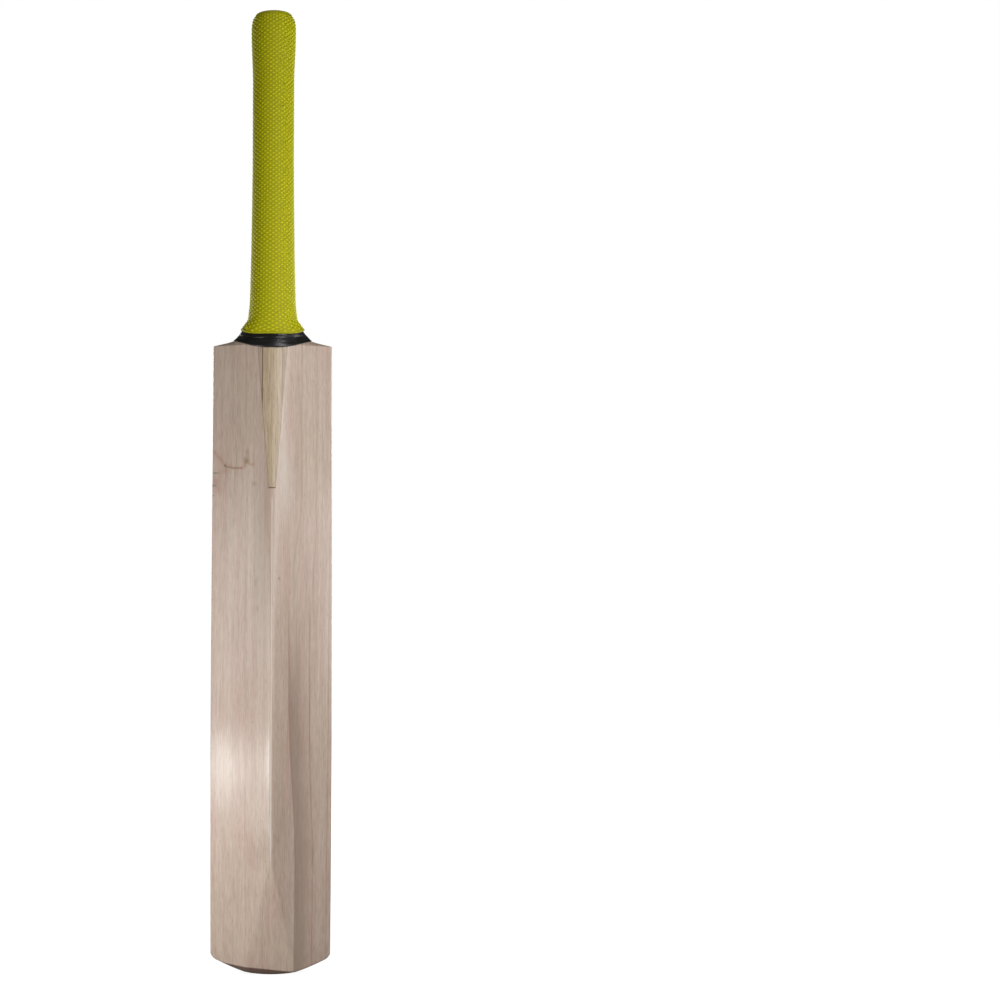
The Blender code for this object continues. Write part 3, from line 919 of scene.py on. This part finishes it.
# The knot on the back's left side: a pink swirl, a thin crack, and soft marks as (place, size, dark).
KNOT_PINK, KNOT_OLIVE, KNOT_BROWN = srgb(196, 144, 120), srgb(160, 124, 82), srgb(104, 78, 60)
KNOT_SWIRL = ((51, -94), (42, -104), (34, -108), (26, -107.5), (21, -104))
KNOT_CRACK = ((41.5, -106.5), (34, -108), (26.5, -108))
FACE_SWIRL = ((15, -22), (24, -24), (30, -31), (29, -40), (20, -45), (12, -41))
FACE_RIPPLE = ((-34, -52), (-26, -55), (-20, -53.5), (-12, -54.5))
FACE_MARKS = (((23, -33), (9, 10), 0.7), ((24, -34), (3.5, 4.5), 0.7), ((-22, -53), (13, 4), 0.5))
KNOT_MARKS = (
    (KNOT_PINK, 0.95, (((41, -111), (7, 4), 0.5), ((49, -120), (6, 6), 0.55), ((17, -105), (5, 3), 0.6),
                      ((47, -127), (5, 5), 0.35))),
    (KNOT_OLIVE, 1.0, (((22.5, -102), (5, 6), 0.8), ((21.5, -95), (2.5, 6), 0.45),
                       ((15.5, -122), (3.5, 4), 0.5), ((14, -207), (2.5, 9), 0.35),
                       ((12.5, -230), (2.5, 5), 0.3))),
    (KNOT_BROWN, 0.8, (((41.3, -105.8), (2.0, 1.8), 1.0), ((50, -112.5), (6, 1.3), 0.7),
                       ((51.5, -123.5), (3.5, 2.0), 0.8), ((52, -132), (2.2, 1.4), 0.7),
                       ((-6.3, -204), (1.8, 2.4), 0.6), ((16, -329), (0.8, 2.2), 0.6))),
)


def willow_look():
    look = Look("willow_wood", IOR=1.5, Coat_Weight=0.85, Coat_Roughness=0.3)
    x, y, h = look.place()
    below = look.math("MAXIMUM", -h, 0.0)
    depth = y - FACE_AT_SHOULDER + below * FACE_LEAN + below * below * (0.5 / BOW_RADIUS)
    back = look.smooth(depth, 5.0, 9.0)
    edge = look.smooth(abs(x) - below * EDGE_SPREAD, BLADE_HALF_WIDTH_TOP - 1.0, BLADE_HALF_WIDTH_TOP - 0.3)
    wander = look.noise((60, 60, 140), 2.0) - 0.5
    fibre = look.grain(edge, 0.45, 38, 3.0, 4.0)
    vessels = look.grain(edge, 0.35, 5, 2.0, 31.0)
    band = look.grain(edge, 4.5, 260, 2.0, 9.0)
    wood = willow_grain(look, edge, fibre, vessels, band)
    wood = willow_zones(look, wood, x, h, below, back)
    wood = look.mix(willow_lines(look, x, h, below, depth, back, wander) * 0.6, wood, srgb(146, 106, 84))
    wood = willow_knots(look, wood, x, h, back, edge)
    wood = splice_and_crest(look, wood, x, h, below, back)
    wood, sealed = toe_paint(look, wood, x, h, depth, wander)
    roughness = 0.40 + 0.10 * band + 0.12 * fibre - sealed * 0.12
    return look.finish(wood, roughness, fibre + vessels * 0.5, 0.06)


def willow_grain(look, edge, fibre, vessels, band):
    """The wood's own colour, from its broad warm and cool bands down to single fibres and flecks."""
    warmth = look.noise((22, 22, 200), 1.0, 17.0)
    cloud = look.noise((16, 16, 60), 2.0, 23.0)
    mottle = look.noise((3.6, 3.6, 60), 3.0, 51.0)
    fleck = look.grain(edge, 0.8, 9, 2.0, 61.0)
    wood = look.mix(look.smooth(warmth, 0.35, 0.65), srgb(216, 193, 173), srgb(214, 184, 167))
    return look.layers(
        wood,
        (band, 0.35, 0.7, 0.55, (226, 208, 192)),
        (cloud, 0.5, 0.8, 0.35, (190, 168, 148)),
        (fibre, 0.42, 0.75, 0.4, (172, 145, 126)),
        (vessels, 0.6, 0.75, 0.4, (150, 120, 100)),
        (mottle, 0.5, 0.75, 0.26, (228, 212, 194)),
        (-mottle, -0.5, -0.25, 0.26, (184, 158, 138)),
        (fleck, 0.5, 0.75, 0.28, (236, 220, 204)),
        (-fleck, -0.5, -0.28, 0.3, (172, 146, 126)),
    )


def willow_zones(look, wood, x, h, below, back):
    """Painted shade on the back's left beside the crest, a painted highlight on its right beside the
    splice, and a darker band beyond one wandering line.
    """
    # Painted shade: the back's left near the crest, where its rounding turns away from the light.
    wood = look.mix(spot(look, x, h, (8, -170), (12, 125)) * back * 0.35, wood, srgb(164, 141, 126))
    # Painted highlight: a pale patch on the back's right beside the splice, where the rounded crest catches
    # the light.
    wood = look.mix(spot(look, x, h, (-12, -118), (10, 60)) * back * 0.4, wood, srgb(238, 226, 214))
    # Darker beyond this line, fading out again further from it.
    place, move, start, end = DARKER_BAND_LINE[:4]
    beyond = place + look.smooth(below, start, end) * move - x
    darker_band = look.smooth(beyond, -0.5, 0.8) * (1.0 - look.smooth(beyond, 3, 17))
    darker_band = darker_band * look.smooth(below, 220, 330)
    return look.mix(darker_band * back * 0.6, wood, srgb(160, 134, 118))


def willow_lines(look, x, h, below, depth, back, wander):
    """How dark the growth rings' lines are: those that run straight, and those that wander."""
    face = 1.0 - back
    swirl = spot(look, x, h, (34, -98), (26, 34)) * back * 3.0
    knot_pull = spot(look, x, h, (22, -33), (20, 30)) * face * 4.0
    across = x + wander * 3.0 + depth * 0.03 + swirl - knot_pull
    dark = look.mix(back, rings(look, across, FACE_RINGS), rings(look, across, BACK_RINGS))
    lines = dark * (0.7 + 0.5 * face) * (0.35 + 0.65 * look.noise((9, 9, 90), 2.0, 41.0))
    for line in WANDERING_LINES:
        lines = lines + wandering_line(look, x + wander * 1.2, below, line) * back
    return lines


def willow_knots(look, wood, x, h, back, edge):
    """A small knot's swirl, pips and crack on the back, and a knot beside the splice on the face."""
    uneven = look.noise((5, 5, 5), 3.0, 3.5)
    bent_x, bent_h = x + uneven * 3.0 - 1.5, h + uneven * 3.0 - 1.5
    on_back = back * (1.0 - edge * 0.9)
    swirl_line = stroke(look, bent_x, bent_h, KNOT_SWIRL, 3.0) * look.smooth(uneven, 0.25, 0.6)
    for colour, strength, marks in KNOT_MARKS:
        shade = swirl_line * 0.6 if colour == KNOT_PINK else 0.0
        for centre, size, dark in marks:
            shade = shade + spot(look, bent_x, bent_h, centre, size) * dark
        wood = look.mix(shade * look.smooth(uneven, 0.1, 0.5) * on_back * strength, wood, colour)
    crack = stroke(look, x, h + uneven * 1.5 - 0.75, KNOT_CRACK, 0.75)
    wood = look.mix(crack * back * 0.55, wood, srgb(96, 78, 62))
    knot = stroke(look, bent_x, bent_h, FACE_SWIRL, 2.4) * 0.5
    knot = knot + stroke(look, bent_x, bent_h, FACE_RIPPLE, 2.6) * 0.7
    for centre, size, dark in FACE_MARKS:
        knot = knot + spot(look, bent_x, bent_h, centre, size) * dark
    return look.mix(knot * look.smooth(uneven, 0.1, 0.55) * (1.0 - back) * 0.8, wood, srgb(178, 118, 94))


def splice_and_crest(look, wood, x, h, below, back):
    """The glue line beside the splice and at its tip, and a painted highlight along the crest below it."""
    beside = look.near(abs(x) - SPLICE_HALF_WIDTH_TOP - h * SPLICE_SLOPE, 0.9)
    beside = beside * look.smooth(h, SPLICE_TIP - 1.0, SPLICE_TIP + 1.0)
    tip = look.near(h - SPLICE_TIP + 0.3, 0.8) * (1.0 - look.smooth(abs(x), 2.6, 3.4))
    wood = look.mix(beside * 0.5 + tip * 0.95, wood, srgb(92, 66, 46))
    # Painted highlight: a pale line down the rounded crest, where it would catch the light.
    crest = look.near(x, 0.8) * back * look.smooth(below, 128, 140) * (1.0 - look.smooth(below, 440, 470))
    return look.mix(crest * 0.85, wood, srgb(246, 236, 228))


def toe_paint(look, wood, x, h, depth, wander):
    """The end grain sealed orange-brown, and a slanting dark band low on the toe, partly the sealer's
    darker colour and partly painted shade of its underside.
    """
    half = BLADE_HALF_WIDTH_TOE
    radius = (half**2 + TOE_RISE**2) / (2 * TOE_RISE)
    arc = radius - look.math("SQRT", look.math("MAXIMUM", radius**2 - x * x, 1.0))
    corner = look.smooth(abs(x), half - TOE_CORNER_WIDTH, half) * TOE_CORNER_RISE
    above = h + BLADE_LENGTH - arc - corner + depth * toe_lean()
    sealed = 1.0 - look.smooth(above + wander * 2.0, 0.6, 2.6)
    wood = look.mix(sealed * 0.85, wood, srgb(148, 100, 70))
    # Partly the sealer's colour, partly painted shade: a slanting dark band along the toe's bottom.
    sealer_and_shade_band = 1.0 - look.smooth(h + BLADE_LENGTH - x * 0.1125 + wander * 1.5, 1.6, 3.0)
    return look.mix(sealer_and_shade_band * 0.85, wood, srgb(70, 42, 30)), sealed


def cane_look():
    look = Look("cane_wood", IOR=1.5, Coat_Weight=0.25, Coat_Roughness=0.35)
    x, y, _ = look.place()
    fibre = look.grain(0.0, 0.6, 30, 3.0, 2.0)
    bundles = look.grain(0.0, 0.45, 7, 2.0, 12.0)
    band = look.grain(0.0, 3, 120, 2.0, 5.0)
    outer = look.smooth(abs(x), CANE_CENTRE_HALF_WIDTH - 0.3, CANE_CENTRE_HALF_WIDTH + 0.3)
    wood = look.mix(look.smooth(band, 0.3, 0.7), srgb(222, 202, 174), srgb(208, 184, 152))
    side = look.smooth(x * look.math("SIGN", y), -1.0, 1.0)
    wood = look.mix(outer * (0.35 + 0.5 * side), wood, srgb(196, 172, 156))
    wood = look.layers(
        wood, (fibre, 0.45, 0.7, 0.5, (146, 114, 80)), (bundles, 0.58, 0.72, 0.45, (120, 88, 58))
    )
    glue = look.near(abs(x) - CANE_CENTRE_HALF_WIDTH, 0.75) * (0.3 + 0.6 * side)
    wood = look.mix(glue, wood, srgb(96, 64, 40))
    return look.finish(wood, 0.42 + 0.12 * band, fibre + bundles, 0.06)


def grip_look():
    look = Look("grip_moulded_rubber", IOR=1.5, Specular_IOR_Level=0.3)
    raised = look.node("ShaderNodeAttribute", attribute_name="raised").outputs["Fac"]
    dust = look.noise((4, 4, 4), 4.0, 3.0)
    grain = look.noise((0.4, 0.4, 0.4), 2.0, 6.0)
    # Painted shade: darker yellow in the valleys between the diamonds than on their tops.
    colour = look.mix(Number(look, raised), srgb(190, 187, 2), srgb(238, 236, 10))
    colour = look.layers(
        colour, (dust, 0.45, 0.8, 0.25, (176, 170, 50)), (grain, 0.5, 0.8, 0.2, (150, 140, 4))
    )
    return look.finish(colour, 0.5 + 0.15 * dust, grain, 0.03)


def tape_look():
    look = Look("tape_black_vinyl", Specular_IOR_Level=0.55)
    crease = look.noise((4, 4, 1.6), 3.0, 8.0)
    smear = look.noise((14, 14, 5), 2.0, 3.0)
    colour = look.mix(smear, (0.008, 0.008, 0.008), (0.02, 0.02, 0.019))
    return look.finish(colour, 0.22 + 0.22 * smear, crease, 0.25)


def spring_look():
    look = Look("spring_black_rubber")
    speck = look.noise((0.6, 0.6, 0.6), 3.0)
    colour = look.mix(speck, (0.02, 0.02, 0.02), (0.05, 0.048, 0.045))
    return look.finish(colour, 0.7 + 0.2 * speck, speck)


def twine_look():
    look = Look("twine_waxed_thread")
    ply = look.noise((0.5, 0.5, 0.25), 3.0)
    colour = look.mix(ply, srgb(176, 160, 128), srgb(214, 202, 176))
    return look.finish(colour, 0.8 + 0.1 * ply, ply, 0.1)


# ---------------------------------------------------------------- studio


def floor_look():
    """Pale paper that the camera sees a little brighter than the light on it, as a lit sweep looks."""
    look = Look("studio_floor_paper")
    tooth = look.noise((2, 2, 2), 2.0)
    look.shader.inputs["Emission Color"].default_value = (1, 1, 1, 1)
    x, y, _ = look.place()
    far = look.smooth(look.math("SQRT", x * x + y * y), 150.0, 1400.0)
    seen = Number(look, look.node("ShaderNodeLightPath").outputs["Is Camera Ray"])
    look.feed(look.shader.inputs["Emission Strength"], seen * (0.88 + 0.12 * far))
    colour = look.mix(tooth, (0.40, 0.40, 0.40), (0.42, 0.42, 0.42))
    return look.finish(colour, 0.9 + 0.05 * tooth)


FLOOR_HALF = 6000.0


def make_floor():
    half, h = FLOOR_HALF, TOE_Z / MM + HOLD_HEIGHT
    points = [(-half, -half, h), (half, -half, h), (half, half, h), (-half, half, h)]
    floor = new_object("studio_floor", points, [range(4)])
    floor.data.materials.append(floor_look())


def make_light(name, place, towards, size, watts):
    lamp = bpy.data.lights.new(name, "AREA")
    lamp.shape = "RECTANGLE"
    lamp.size, lamp.size_y = size
    lamp.energy = watts
    light = bpy.data.objects.new(name, lamp)
    light.location = place
    light.rotation_euler = (Vector(towards) - Vector(place)).to_track_quat("-Z", "Y").to_euler()
    bpy.context.scene.collection.objects.link(light)


WORLD_LIGHT = 0.03


def make_world():
    """White to the camera, and a faint even light on the bat."""
    world = bpy.data.worlds.new("studio")
    world.use_nodes = True
    bpy.context.scene.world = world
    tree = world.node_tree
    path = tree.nodes.new("ShaderNodeLightPath")
    seen = tree.nodes.new("ShaderNodeMix")
    seen.data_type = "FLOAT"
    seen.inputs["A"].default_value = WORLD_LIGHT
    seen.inputs["B"].default_value = 1.0
    tree.links.new(path.outputs["Is Camera Ray"], seen.inputs["Factor"])
    tree.links.new(seen.outputs["Result"], tree.nodes["Background"].inputs["Strength"])
    tree.nodes["Background"].inputs["Color"].default_value = (1, 1, 1, 1)


# The photograph's camera, level and square behind the bat, which stands left of the middle.
CAMERA_LENS = 60.0
CAMERA_DISTANCE = 1.4687
CAMERA_RAISED = -1.6
CAMERA_ROLL = -0.22
FRAMING_SHIFT = 0.228


def make_camera():
    camera = bpy.data.objects.new("camera", bpy.data.cameras.new("camera"))
    bpy.context.scene.collection.objects.link(camera)
    camera.data.lens = CAMERA_LENS
    camera.data.sensor_width = 36.0
    camera.data.shift_x = FRAMING_SHIFT
    middle = (HANDLE_TOP + TOE_Z / MM + HOLD_HEIGHT) / 2 - HOLD_HEIGHT
    place = Vector((0.0, CAMERA_DISTANCE, (middle + CAMERA_RAISED) * MM))
    camera.location = place
    camera.rotation_euler = (math.radians(90), math.radians(CAMERA_ROLL), math.radians(180))
    bpy.context.scene.camera = camera


# Soft lamps: name, place and what they face in metres, width and height, and watts. Right and left are
# as seen from behind the bat.
LAMPS = (
    ("key_from_the_right", (-0.34, 0.64, -0.06), (0, 0, -0.06), (0.25, 0.25), 1.75),
    ("second_from_the_right", (-0.40, 0.60, -0.36), (0, 0, -0.36), (0.25, 0.25), 0.85),
    ("side_from_the_right", (-0.72, 0.12, -0.12), (0, 0, -0.12), (0.25, 0.25), 1.15),
    ("broad_from_the_left", (0.50, 0.50, -0.40), (0, 0, -0.40), (0.25, 0.25), 0.9),
    ("low_from_the_left", (0.30, 0.27, -0.65), (0, 0, -0.55), (0.12, 0.08), 0.64),
    ("overhead", (0.1, 0.45, 0.95), (0, 0, -0.1), (0.5, 0.4), 1.3),
    ("face_key", (0.9, -1.0, -0.1), (0, 0, -0.25), (0.5, 0.6), 8.5),
    ("face_fill", (-0.9, -1.0, -0.4), (0, 0, -0.35), (0.5, 0.6), 7.0),
)


# ---------------------------------------------------------------- assembly


def put_on_frame(obj, look, slot, *nodes):
    obj.data.materials.clear()
    obj.data.materials.append(look)
    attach(obj, "root")
    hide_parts(*nodes)


def repaint(node, look):
    """A CAD node that stays as it is, under a better material."""
    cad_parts[node].data.materials.clear()
    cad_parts[node].data.materials.append(look)


def main():
    willow, cane, tape = willow_look(), cane_look(), tape_look()
    put_on_frame(make_blade(), willow, "willow", "blade")
    for node, strip in make_outer_canes().items():
        put_on_frame(strip, cane, "cane", node)
    for layer in ("inner_face", "inner_back"):
        for column in ("left", "centre", "right"):
            repaint(f"cane_{layer}_{column}", cane)
    spring = spring_look()
    for layer in ("front", "middle", "back"):
        repaint(f"rubber_spring_{layer}", spring)
    put_on_frame(make_twine(), twine_look(), "twine", "twine_binding")
    lower = make_tape("tape_winding_lower", GAP, TAPE_RIM, 3)
    put_on_frame(lower, tape, "tape", "throat_tape_lower")
    upper = make_tape("tape_winding_upper", 2 * GAP + TAPE_THICKNESS, COLLAR_RIM, 11)
    put_on_frame(upper, tape, "tape", "throat_tape_upper")
    put_on_frame(make_grip(), grip_look(), "grip_rubber", "grip")
    make_floor()
    make_world()
    make_camera()
    for lamp in LAMPS:
        make_light(*lamp)
    bpy.context.scene.view_settings.view_transform = "Standard"


main()
